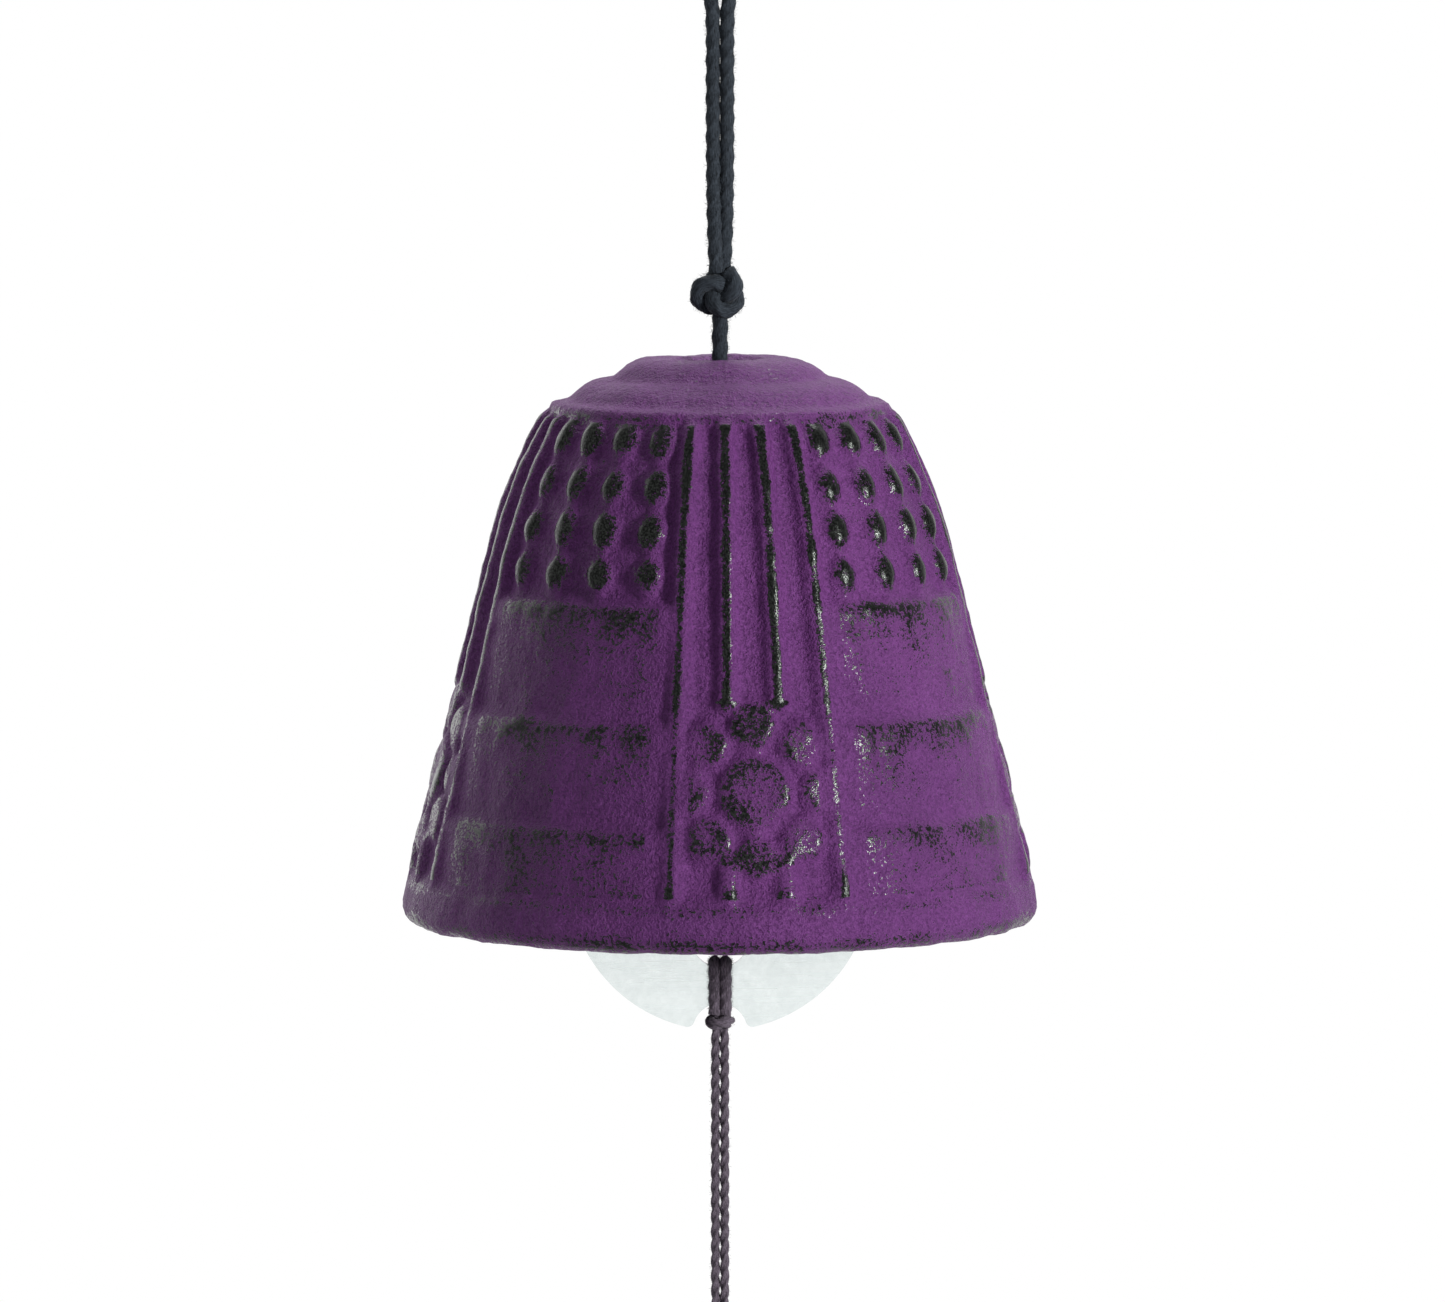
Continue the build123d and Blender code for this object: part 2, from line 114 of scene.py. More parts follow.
# %% [markdown]
# ## Node helpers
# A finish is a small graph of nodes. These helpers add one node, set its sockets and link
# what is given as a socket, so that each material below reads as a list of its layers.


# %% Node helpers
def colour(red, green, blue):
    """A screen colour, 0 to 255, as the linear colour that shaders work in."""
    channels = [value / 255 for value in (red, green, blue)]
    linear = [c / 12.92 if c <= 0.04045 else ((c + 0.055) / 1.055) ** 2.4 for c in channels]
    return (*linear, 1.0)


class Finish:
    """A node material that is built up socket by socket."""

    def __init__(self, name):
        self.material = bpy.data.materials.new(name)
        self.material.use_nodes = True
        self.tree = self.material.node_tree
        self.tree.nodes.clear()
        self.output = self.tree.nodes.new("ShaderNodeOutputMaterial")

    def node(self, kind, settings=None, **sockets):
        """Add a node; a socket's name has its spaces written as underscores."""
        node = self.tree.nodes.new("ShaderNode" + kind)
        for key, value in (settings or {}).items():
            setattr(node, key, value)
        for key, value in sockets.items():
            self.join(node.inputs[key.replace("_", " ")], value)
        return node

    def join(self, socket, value):
        """Link an output to a socket, or set the socket to a plain value."""
        if isinstance(value, bpy.types.NodeSocket):
            self.tree.links.new(value, socket)
        else:
            socket.default_value = value

    def coordinates(self, name="Object"):
        """Where a point lies on the piece."""
        return self.node("TexCoord").outputs[name]

    def noise(self, vector, scale, detail=2.0, roughness=0.5):
        """Soft noise from 0 to 1, with scale cells to a unit of the vector."""
        sockets = {"Vector": vector, "Scale": scale, "Detail": detail, "Roughness": roughness}
        return self.node("TexNoise", **sockets).outputs["Fac"]

    def stretch(self, vector, scale):
        """Coordinates that are scaled by axis, which draws a noise out."""
        return self.node("Mapping", Vector=vector, Scale=scale).outputs["Vector"]

    def maths(self, operation, first, second):
        """One sum on two values."""
        node = self.node("Math", {"operation": operation})
        self.join(node.inputs[0], first)
        self.join(node.inputs[1], second)
        return node.outputs[0]

    def share(self, first, part, second):
        """A weighted sum: a part of the first value and the rest of the second."""
        rest = self.maths("MULTIPLY", second, 1 - part)
        return self.maths("ADD", self.maths("MULTIPLY", first, part), rest)

    def fit(self, value, low, high, to_low=0.0, to_high=1.0, smooth=False):
        """A value's place between low and high, as a value between two others."""
        kind = {"interpolation_type": "SMOOTHSTEP" if smooth else "LINEAR"}
        sockets = {"Value": value, "From Min": low, "From Max": high}
        sockets.update({"To Min": to_low, "To Max": to_high})
        return self.node("MapRange", kind, **sockets).outputs["Result"]

    def mix(self, factor, first, second):
        """The first colour at 0, the second at 1."""
        node = self.node("Mix", {"data_type": "RGBA"})
        self.join(node.inputs["Factor"], factor)
        self.join(node.inputs[6], first)
        self.join(node.inputs[7], second)
        return node.outputs[2]

    def bump(self, height, distance, strength=1.0, normal=None):
        """Small relief that only light shows, its height 1 being the distance."""
        sockets = {"Height": height, "Distance": distance, "Strength": strength}
        if normal is not None:
            sockets["Normal"] = normal
        return self.node("Bump", **sockets).outputs["Normal"]

    def surface(self, **sockets):
        """The finished shader."""
        shader = self.node("BsdfPrincipled", **sockets)
        self.join(self.output.inputs["Surface"], shader.outputs["BSDF"])
        return self.material


def dress(piece, material):
    """Give a piece one material."""
    piece.data.materials.clear()
    piece.data.materials.append(material)


# %% [markdown]
# ## Light, background and floor
# The picture is a studio shot on white. A small bright lamp stands to the right of the camera at
# the bell's height and makes bare iron glint, a larger one shines on the crown from above and
# behind, and a wide weak one brightens the left edge. What the camera or a mirror sees of the
# surroundings is plain white, and what lights the paint is dimmer. The bell hangs free, so the
# floor is far below, pale, and fades into the white at its edge.

# %% World
WHITE = (1.0, 1.0, 1.0, 1.0)
FILL_LIGHT = (0.96, 0.98, 1.0, 1.0)
FILL_STRENGTH = 0.21

scene = bpy.context.scene
scene.view_settings.view_transform = "Standard"
world = bpy.data.worlds.new("white_studio")
scene.world = world
world.use_nodes = True
world_nodes = world.node_tree.nodes
world_nodes.clear()


def seen_directly(nodes, links):
    """1 for the rays that show a surface itself or its mirror image, 0 for diffuse light."""
    path = nodes.new("ShaderNodeLightPath")
    total = path.outputs["Is Camera Ray"]
    for name in ("Is Glossy Ray", "Is Transmission Ray"):
        step = nodes.new("ShaderNodeMath")
        step.operation = "MAXIMUM"
        links.new(total, step.inputs[0])
        links.new(path.outputs[name], step.inputs[1])
        total = step.outputs[0]
    return total


def background(shade, strength):
    """A plain colour all round."""
    node = world_nodes.new("ShaderNodeBackground")
    node.inputs["Color"].default_value = shade
    node.inputs["Strength"].default_value = strength
    return node.outputs[0]


world_mix = world_nodes.new("ShaderNodeMixShader")
world_links = world.node_tree.links
world_links.new(seen_directly(world_nodes, world_links), world_mix.inputs[0])
world_links.new(background(FILL_LIGHT, FILL_STRENGTH), world_mix.inputs[1])
world_links.new(background(WHITE, 1.0), world_mix.inputs[2])
world_output = world_nodes.new("ShaderNodeOutputWorld")
world_links.new(world_mix.outputs[0], world_output.inputs["Surface"])

# %% Lamps
BELL_LOW, BELL_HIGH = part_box("bell")
BELL_MIDDLE = (BELL_LOW + BELL_HIGH) / 2
LAMPS = {
    "lamp_right": {"azimuth": 50, "elevation": 10, "distance": 0.9, "size": 0.13, "brightness": 1.28},
    "lamp_behind": {"azimuth": 170, "elevation": 64, "distance": 1.0, "size": 0.50, "brightness": 1.05},
    "lamp_left": {"azimuth": -128, "elevation": 10, "distance": 1.0, "size": 0.90, "brightness": 0.34},
}


def soft_lamp(name, azimuth, elevation, distance, size, brightness):
    """A square lamp aimed at the bell, its azimuth in degrees from the camera towards +X;
    brightness 1 shows a colour that faces the lamp as it is written."""
    turn, rise = math.radians(azimuth), math.radians(elevation)
    level = math.cos(rise)
    towards = Vector((math.sin(turn) * level, -math.cos(turn) * level, math.sin(rise)))
    rotation = towards.to_track_quat("Z", "Y").to_euler()
    bpy.ops.object.light_add(type="AREA", location=BELL_MIDDLE + towards * distance, rotation=rotation)
    lamp = bpy.context.object
    lamp.name = name
    lamp.data.size = size
    lamp.data.energy = brightness * (math.pi * distance) ** 2


for lamp_name, setting in LAMPS.items():
    soft_lamp(lamp_name, **setting)
print(f"{len(LAMPS)} lamps round the bell")

# %% Floor
FLOOR_RADIUS = 0.75
FLOOR_DROP = 30 * MM
FLOOR_COLOUR = (0.74, 0.74, 0.74, 1.0)
FADE_FROM = 0.35 * FLOOR_RADIUS
FADE_TO = 0.95 * FLOOR_RADIUS

floor_level = CAD_BOX[0][2] - FLOOR_DROP
bpy.ops.object.select_all(action="DESELECT")
bpy.ops.mesh.primitive_circle_add(
    vertices=96, radius=FLOOR_RADIUS, fill_type="NGON", location=(0, 0, floor_level)
)
floor = bpy.context.object
floor.name = "floor"
bpy.ops.object.transform_apply(location=True)
pale = Finish("pale_floor")
across = pale.stretch(pale.coordinates(), (1, 1, 0))
from_axis = pale.node("VectorMath", {"operation": "LENGTH"}, Vector=across).outputs["Value"]
edge = pale.fit(from_axis, FADE_FROM, FADE_TO, smooth=True)
light_path = pale.node("LightPath")
fade = pale.maths("MULTIPLY", edge, light_path.outputs["Is Camera Ray"])
plain = pale.node("BsdfDiffuse", Color=FLOOR_COLOUR)
glow = pale.node("Emission", Color=WHITE, Strength=1.0)
faded = pale.node("MixShader")
pale.join(faded.inputs[0], fade)
pale.join(faded.inputs[1], plain.outputs[0])
pale.join(faded.inputs[2], glow.outputs[0])
pale.join(pale.output.inputs["Surface"], faded.outputs[0])
dress(floor, pale.material)
print(f"floor at {floor_level / MM:.0f} mm")

# %% [markdown]
# ## Cords
# Both cords are three plies of cotton twisted together. A plain tube with a rope picture on it
# would have a straight outline, so the plies are modelled: the section has three lobes and turns
# as it goes along. The route is a smooth spline, and the rope follows the points that Blender
# reads from it. Loose fibre ends stand out all along, which softens the outline as cotton does.


# %% Rope helpers
SAME_PLACE = 1e-7
SLANTED = (0.13, 0.97, 0.21)


def spline_points(route, steps):
    """Points along a smooth spline that has the route's points as its control points."""
    curve = bpy.data.curves.new("route", "CURVE")
    curve.dimensions = "3D"
    curve.resolution_u = steps
    spline = curve.splines.new("NURBS")
    spline.points.add(len(route) - 1)
    for point, place in zip(spline.points, route):
        point.co = (*place, 1.0)
    spline.order_u = 3
    spline.use_endpoint_u = True
    holder = bpy.data.objects.new("route", curve)
    mesh = bpy.data.meshes.new_from_object(holder)
    points = np.array([vertex.co for vertex in mesh.vertices])
    bpy.data.meshes.remove(mesh)
    bpy.data.objects.remove(holder)
    bpy.data.curves.remove(curve)
    gaps = np.linalg.norm(np.diff(points, axis=0), axis=1)
    return points[np.concatenate([[True], gaps > SAME_PLACE])]


def carried_frames(points):
    """Two directions square to the line at each point, carried along without twist."""
    tangents = np.gradient(points, axis=0)
    tangents /= np.linalg.norm(tangents, axis=1)[:, None]
    side = np.cross(tangents[0], SLANTED)
    sides = []
    for tangent in tangents:
        side = side - tangent * np.dot(side, tangent)
        side /= np.linalg.norm(side)
        sides.append(side)
    sides = np.array(sides)
    return tangents, sides, np.cross(tangents, sides)


# %% Plies and fibres
PLIES = 3
SIDES_PER_PLY = 8
TIGHT_CREVICE = 0.66
LEAN_ALONG = 1.6
LEAN_AROUND = 0.9
SHORTEST_FIBRE = 0.25
ROOT_DEPTH = 0.36


def ply_outline(crevice):
    """Distance from the middle to the edge of three touching plies, for an outer radius of 1;
    fibres fill the gap between two plies up to the crevice."""
    sides = PLIES * SIDES_PER_PLY
    ply = 1 / (1 + 2 / math.sqrt(3))
    out = 1 - ply
    angles = np.arange(sides) * 2 * math.pi / sides
    third = 2 * math.pi / PLIES
    within = (angles + third / 2) % third - third / 2
    inner = np.sqrt(np.maximum(ply**2 - (out * np.sin(within)) ** 2, 0))
    return angles, np.maximum(out * np.cos(within) + inner, crevice)


class RopeMesh:
    """Vertices, faces and fibre coordinates of one piece of rope, tube by tube; the lay is the
    length in which a ply goes once round."""

    def __init__(self, diameter, lay, seed, crevice=TIGHT_CREVICE):
        self.diameter = diameter
        self.lay = lay
        self.crevice = crevice
        self.random = np.random.default_rng(seed)
        self.places = []
        self.faces = []
        self.fibre_uv = []

    def count(self):
        """How many points there are so far."""
        return sum(len(block) for block in self.places)

    def tube(self, points, first_ply=0.0):
        """A twisted three-ply tube along the points, from the first ply's angle on."""
        angles, outline = ply_outline(self.crevice)
        sides = len(angles)
        tangents, across, up = carried_frames(points)
        along = np.concatenate([[0], np.cumsum(np.linalg.norm(np.diff(points, axis=0), axis=1))])
        turn = first_ply + angles[None, :] + 2 * math.pi * along[:, None] / self.lay
        ring = outline[None, :] * self.diameter / 2
        first = self.count()
        block = (
            points[:, None, :]
            + (ring * np.cos(turn))[:, :, None] * across[:, None, :]
            + (ring * np.sin(turn))[:, :, None] * up[:, None, :]
        )
        self.places.append(block.reshape(-1, 3))
        for row in range(len(points) - 1):
            low = first + row * sides
            high = low + sides
            for column in range(sides):
                after = (column + 1) % sides
                self.faces.append([low + column, low + after, high + after, high + column])
                for step, rise in ((0, 0), (1, 0), (1, 1), (0, 1)):
                    length = along[row + rise]
                    round_it = (column + step) / sides + length / self.lay
                    self.fibre_uv.append((round_it, length / self.diameter))
        for row, order in ((0, -1), (len(points) - 1, 1)):
            cap = list(range(first + row * sides, first + (row + 1) * sides))[::order]
            self.faces.append(cap)
            self.fibre_uv += [(0.5, along[row] / self.diameter)] * sides
        return self

    def fuzz(self, points, per_mm, longest, thickness):
        """Short loose fibre ends along the points, each a bent three-sided spike."""
        tangents, across, up = carried_frames(points)
        length = np.linalg.norm(np.diff(points, axis=0), axis=1).sum()
        for _ in range(int(per_mm * length / MM)):
            at = self.random.integers(1, len(points) - 1)
            angle = self.random.uniform(0, 2 * math.pi)
            out = math.cos(angle) * across[at] + math.sin(angle) * up[at]
            around = np.cross(tangents[at], out)
            lean = self.random.uniform(-LEAN_ALONG, LEAN_ALONG) * tangents[at]
            lean = lean + self.random.uniform(-LEAN_AROUND, LEAN_AROUND) * around
            reach = longest * self.random.uniform(SHORTEST_FIBRE, 1.0) ** 1.5
            root = points[at] + out * self.diameter * ROOT_DEPTH
            middle = root + (out * 0.9 + lean * 0.35) * (reach * 0.5 + self.diameter * 0.1)
            tip = middle + (out * 0.35 + lean) * reach * 0.5
            first = self.count()
            spike = []
            for place, width in ((root, 1.0), (middle, 0.75)):
                for corner in range(3):
                    spoke = 2 * math.pi * corner / 3
                    offset = math.cos(spoke) * tangents[at] + math.sin(spoke) * around
                    spike.append(place + offset * thickness * width / 2)
            spike.append(tip)
            self.places.append(np.array(spike))
            for corner in range(3):
                after = (corner + 1) % 3
                bend, bend_after = first + 3 + corner, first + 3 + after
                self.faces.append([first + corner, first + after, bend_after, bend])
                self.faces.append([bend, bend_after, first + 6])
                self.fibre_uv += [(0.2, 0.0)] * 7
        return self

    def piece(self, name, material):
        """Make the mesh object."""
        mesh = bpy.data.meshes.new(name)
        mesh.from_pydata(np.concatenate(self.places).tolist(), [], self.faces)
        layer = mesh.uv_layers.new(name="fibre")
        layer.data.foreach_set("uv", np.array(self.fibre_uv, np.float32).ravel())
        mesh.update()
        made = bpy.data.objects.new(name, mesh)
        bpy.context.scene.collection.objects.link(made)
        pick(made)
        bpy.ops.object.shade_smooth()
        dress(made, material)
        print(f"{name}: {len(mesh.polygons)} faces")
        return made


# %% [markdown]
# ### Cord finishes
# The hanging cord is dyed blue-black and the twine below is a dull purple-grey, made darker all
# over as painted shade for the bell's shade on its legs at the disc. On a cord the colour changes
# from fibre to fibre, so the noise is stretched along the fibres: the rope's own coordinates run
# round it and along it. The same streaks give a small bump, and sheen stands for the finest fuzz.


# %% Cord finishes
def cotton(name, dark, light, sheen_weight):
    """Dyed cotton, streaked along its fibres."""
    finish = Finish(name)
    fibre = finish.coordinates("UV")
    streaks = finish.noise(finish.stretch(fibre, (14.0, 0.55, 1.0)), 3.0, 3.0, 0.6)
    flecks = finish.noise(finish.stretch(fibre, (30.0, 2.4, 1.0)), 2.0, 2.0, 0.6)
    shade = finish.share(streaks, 0.6, flecks)
    tint = finish.mix(finish.fit(shade, 0.36, 0.66), dark, light)
    return finish.surface(
        Base_Color=tint,
        Roughness=0.85,
        Specular_IOR_Level=0.15,
        Sheen_Weight=sheen_weight,
        Sheen_Roughness=0.5,
        Normal=finish.bump(shade, 0.06 * MM, 0.9),
    )


hanging_cotton = cotton("blue_black_cotton", colour(6, 8, 11), colour(57, 64, 72), 0.04)
# Painted shade: the twine's colours are darker than its own purple-grey, for the bell's shade on its
# legs at the disc.
shade_darkened_twine = cotton("purple_grey_twine_shade_darkened", colour(13, 10, 13), colour(112, 101, 114), 0.06)

# %% [markdown]
# ### Hanging loop and knot
# One cord is doubled over the hook, and its two strands run side by side to the knot above the
# bell. Drawn tight, an overhand knot shows three lobes. It is the closed curve that goes twice
# round a ring and three times through it. A knot tied by hand is uneven, so each lobe has a size
# of its own, and the largest is on the left. The cord is spun softly, so its crevices are
# shallow, and outside the bell it is modelled a little fuller than its measured width.

# %% Hanging loop
CORD_DIAMETER = 1.6 * MM
CORD_LAY = 6.3 * MM
KNOT_LEVEL = -42.8 * MM
LOOP_ROUTE = [
    (-0.40, -0.40, -40.6),
    (-0.60, -0.34, -37.0),
    (-0.74, -0.06, -30.0),
    (-0.76, 0.00, -20.0),
    (-0.74, 0.00, -10.0),
    (-2.35, 0.00, -5.2),
    (-2.90, 0.00, -0.9),
    (-1.20, 0.00, 0.80),
    (1.20, 0.00, 0.80),
    (2.90, 0.00, -0.9),
    (2.35, 0.00, -5.2),
    (0.74, 0.00, -10.0),
    (0.76, 0.00, -20.0),
    (0.74, 0.06, -30.0),
    (0.60, 0.34, -37.0),
    (0.40, 0.40, -40.6),
]
ROPE_FUZZ = {"per_mm": 60, "longest": 0.7 * MM, "thickness": 0.035 * MM}
SOFT_CREVICE = 0.86
LOOP_FULLNESS = 1.08


def in_metres(route):
    """A route that is written in millimetres, as points in metres."""
    return [Vector(point) * MM for point in route]


def hanging_rope(line, diameter, seed):
    """A length of the hanging cord with its loose fibres."""
    return RopeMesh(diameter, CORD_LAY, seed, SOFT_CREVICE).tube(line).fuzz(line, **ROPE_FUZZ)


loop_line = spline_points(in_metres(LOOP_ROUTE), 36)
loop_mesh = hanging_rope(loop_line, CORD_DIAMETER * LOOP_FULLNESS, 1)
hanging_loop = loop_mesh.piece("hanging_loop_rope", hanging_cotton)
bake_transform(hanging_loop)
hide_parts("hanging_loop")


# %% Knots
EVEN_LOBES = (1.0, 1.0, 1.0)
KNOT_WIDTH_IN_CORDS = 4.18
KNOT_RING = 0.98
KNOT_SLACK = 1.06
KNOT_DEPTH = 0.56


def knot_route(across, lobes=EVEN_LOBES, turn=0.0, steps=27):
    """Control points of a drawn-up overhand knot, across wide, about its own middle."""
    ring = KNOT_RING * across / KNOT_WIDTH_IN_CORDS
    points = []
    for number in range(steps):
        angle = 2 * math.pi * number / (steps - 1)
        lobe = 0.5 + 0.5 * math.cos(3 * angle)
        which = int(round(2 * angle / (2 * math.pi / 3))) % 3
        out = (ring + ring / 2 * math.cos(3 * angle)) * (KNOT_SLACK + (lobes[which] - 1.0) * lobe)
        deep = ring * KNOT_DEPTH * math.sin(3 * angle)
        place = Vector((-out * math.sin(2 * angle), deep, out * math.cos(2 * angle)))
        points.append(Matrix.Rotation(-turn, 3, "Y") @ place)
    return points


KNOT_ACROSS = 6.2 * MM
HANGING_KNOT_TURN = math.radians(-20.0)
HANGING_KNOT_LOBES = (1.04, 1.14, 0.96)
HANGING_KNOT_ROPE = KNOT_ACROSS / 3.2

knot_middle = Vector((0, 0, KNOT_LEVEL))
knot_points = knot_route(KNOT_ACROSS, HANGING_KNOT_LOBES, HANGING_KNOT_TURN)
knot_line = spline_points([knot_middle + point for point in knot_points], 10)
knot_mesh = hanging_rope(knot_line, HANGING_KNOT_ROPE, 2)
hanging_knot = knot_mesh.piece("hanging_knot_rope", hanging_cotton)
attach(hanging_knot, "hanging_knot")
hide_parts("hanging_knot")

# %% Crown cord
CROWN_CORD_FULLNESS = 1.16
CROWN_CORD_ROUTE = [
    (0.10, 0.0, -42.6),
    (0.05, 0.0, -45.2),
    (-0.04, 0.0, -47.6),
    (0.03, 0.0, -50.4),
    (0.0, 0.0, -53.0),
    (0.0, 0.0, -56.6),
]
crown_line = spline_points(in_metres(CROWN_CORD_ROUTE), 26)
crown_mesh = hanging_rope(crown_line, CORD_DIAMETER * CROWN_CORD_FULLNESS, 3)
crown_cord = crown_mesh.piece("crown_cord_rope", hanging_cotton)
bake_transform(crown_cord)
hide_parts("crown_cord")

# %% [markdown]
# ### Inside the bell
# Under the crown a second knot stops the cord, and the bell rests on it. The cord goes on to the
# clapper, folds through the disc's upper hole and closes in a third knot.

# %% Stopper knot and clapper cord
STOPPER_LEVEL = -57.614 * MM
TIE_LEVEL = -88.7 * MM
DISC_LEVEL = -107.5 * MM
DISC_THICKNESS = 1.0 * MM
BRIDGE_INNER = 9.8 * MM
FOLD_STAND_OFF = (DISC_THICKNESS + CORD_DIAMETER) / 2 + 0.1 * MM
KNOT_ROPES_ACROSS = 3.7


def knot_rope(middle, across, lay, seed, flip, fuzz):
    """A rope knot about a middle, one lobe up, or one lobe down when flipped."""
    turn = math.pi if flip else 0.0
    line = spline_points([middle + point for point in knot_route(across, turn=turn)], 10)
    rope = RopeMesh(across / KNOT_ROPES_ACROSS, lay, seed, SOFT_CREVICE)
    return rope.tube(line).fuzz(line, **fuzz)


stopper_middle = Vector((0, 0, STOPPER_LEVEL))
stopper_mesh = knot_rope(stopper_middle, KNOT_ACROSS, CORD_LAY, 4, True, ROPE_FUZZ)
stopper_knot = stopper_mesh.piece("stopper_knot_rope", hanging_cotton)
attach(stopper_knot, "stopper_knot")
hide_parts("stopper_knot")

CLAPPER_CORD_ROUTE = [
    (0.0, 0.0, -57.6),
    (0.0, 0.0, -62.0),
    (0.06, 0.0, -68.0),
    (-0.04, 0.0, -75.0),
    (0.03, 0.0, -82.0),
    (0.0, 0.0, -88.7),
]
clapper_line = spline_points(in_metres(CLAPPER_CORD_ROUTE), 36)
clapper_mesh = hanging_rope(clapper_line, CORD_DIAMETER, 5)
clapper_cord = clapper_mesh.piece("clapper_cord_rope", hanging_cotton)
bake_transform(clapper_cord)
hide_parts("clapper_cord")


# %% Clapper tie
def fold_route(stand_off, edge, end, aside=0.0, snug=1.0):
    """From an end along one face of a sheet, round its edge and back along the other face; a
    smaller snug draws the fold closer to the edge."""
    way = 1 if edge > end else -1
    over = edge + way * stand_off * snug
    near = edge - way * stand_off
    legs = [(-stand_off, end), (-stand_off, (end + near) / 2), (-stand_off, near)]
    turn = [(-stand_off, over), (0.0, over + way * 0.1 * stand_off), (stand_off, over)]
    back = [(-across, level) for across, level in reversed(legs)]
    return [Vector((aside, across, level)) for across, level in legs + turn + back]


tie_middle = Vector((0, 0, TIE_LEVEL))
tie_mesh = knot_rope(tie_middle, KNOT_ACROSS, CORD_LAY, 6, False, ROPE_FUZZ)
tie_end = TIE_LEVEL - 1.2 * MM
tie_line = spline_points(fold_route(FOLD_STAND_OFF, DISC_LEVEL + BRIDGE_INNER, tie_end), 14)
tie_mesh.tube(tie_line).fuzz(tie_line, **ROPE_FUZZ)
clapper_tie = tie_mesh.piece("clapper_tie_rope", hanging_cotton)
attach(clapper_tie, "clapper")
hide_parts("clapper_tie")

# %% [markdown]
# ### Twine below the clapper
# The twine is folded in the middle. Its bight goes through the disc's lower hole and over the
# bridge, and the two ends are drawn through the bight: a lark's head. In front two short legs lie
# side by side on the disc, under them the bight wraps round, and below it two strands hang down.

# %% Lark's head
TWINE_DIAMETER = 1.05 * MM
TWINE_LAY = 4.95 * MM
HITCH_LAY = 0.9 * TWINE_LAY
HITCH_LEVEL = -123.3 * MM
LEG_SPREAD = 1.18 * MM
TWINE_FUZZ = {"per_mm": 20, "longest": 0.55 * MM, "thickness": 0.03 * MM}
LEG_FUZZ = {"per_mm": 70, "longest": 0.6 * MM, "thickness": 0.03 * MM}
LEG_DIAMETER = 1.46 * MM
LEG_SNUG = 0.35

leg_stand_off = (DISC_THICKNESS + LEG_DIAMETER) / 2 + 0.05 * MM
leg_top = DISC_LEVEL - BRIDGE_INNER
leg_end = HITCH_LEVEL + 0.9 * MM
leg_mesh = RopeMesh(LEG_DIAMETER, HITCH_LAY, 7, SOFT_CREVICE)
for side in (-1, 1):
    leg_route = fold_route(leg_stand_off, leg_top, leg_end, side * LEG_SPREAD / 2, LEG_SNUG)
    leg_line = spline_points(leg_route, 14)
    leg_mesh.tube(leg_line).fuzz(leg_line, **LEG_FUZZ)
strip_hitch = leg_mesh.piece("strip_hitch_twine", shade_darkened_twine)
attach(strip_hitch, "clapper")
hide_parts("strip_hitch")

# %% Bight
BIGHT_HALF_WIDTH = 0.9752 * MM
BIGHT_HALF_DEPTH = 1.166 * MM
BIGHT_SLANT = 0.16 * MM
BIGHT_POINTS = 13
BIGHT_FULLNESS = 1.4

bight_route = []
for number in range(BIGHT_POINTS):
    angle = 2 * math.pi * (number / (BIGHT_POINTS - 1) + 0.25)
    level = HITCH_LEVEL + BIGHT_SLANT * math.sin(angle + 0.6)
    place = (BIGHT_HALF_WIDTH * math.cos(angle), BIGHT_HALF_DEPTH * math.sin(angle), level)
    bight_route.append(Vector(place))
bight_line = spline_points(bight_route, 12)
bight_mesh = RopeMesh(TWINE_DIAMETER * BIGHT_FULLNESS, HITCH_LAY, 8)
bight_mesh.tube(bight_line).fuzz(bight_line, **TWINE_FUZZ)
hitch_bight = bight_mesh.piece("hitch_bight_twine", shade_darkened_twine)
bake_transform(hitch_bight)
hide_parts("hitch_bight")

# %% Twine strands
STRIP_KNOT_LEVEL = -159.875 * MM
STRAND_ROUTE = [
    (0.44, -122.9),
    (0.48, -125.0),
    (0.51, -129.0),
    (0.50, -134.0),
    (0.52, -140.0),
    (0.50, -147.0),
    (0.52, -153.5),
    (0.40, -158.9),
]
for side, name in ((-1, "left"), (1, "right")):
    strand_route = in_metres([(side * across, 0.0, level) for across, level in STRAND_ROUTE])
    strand_line = spline_points(strand_route, 36)
    first_ply = math.pi / PLIES if side > 0 else 0.0
    strand_mesh = RopeMesh(TWINE_DIAMETER, TWINE_LAY, 10 + side).tube(strand_line, first_ply)
    strand = strand_mesh.fuzz(strand_line, **TWINE_FUZZ).piece(f"twine_strand_{name}", shade_darkened_twine)
    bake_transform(strand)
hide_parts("strip_cord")

# %% Strip tie
STRIP_KNOT_ACROSS = 4.0 * MM
STRIP_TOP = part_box("wind_strip")[1].z
STRIP_HOLE_EDGE = STRIP_TOP - 6.0 * MM
STRIP_THICKNESS = 0.4 * MM

strip_knot_middle = Vector((0, 0, STRIP_KNOT_LEVEL))
strip_tie_mesh = knot_rope(strip_knot_middle, STRIP_KNOT_ACROSS, TWINE_LAY, 12, False, TWINE_FUZZ)
loop_stand_off = (STRIP_THICKNESS + TWINE_DIAMETER) / 2 + 0.12 * MM
loop_end = STRIP_KNOT_LEVEL - 0.6 * MM
strip_loop_line = spline_points(fold_route(loop_stand_off, STRIP_HOLE_EDGE, loop_end), 14)
strip_tie_mesh.tube(strip_loop_line).fuzz(strip_loop_line, **TWINE_FUZZ)
strip_tie = strip_tie_mesh.piece("strip_tie_twine", shade_darkened_twine)
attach(strip_tie, "strip_tie")
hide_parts("strip_tie")

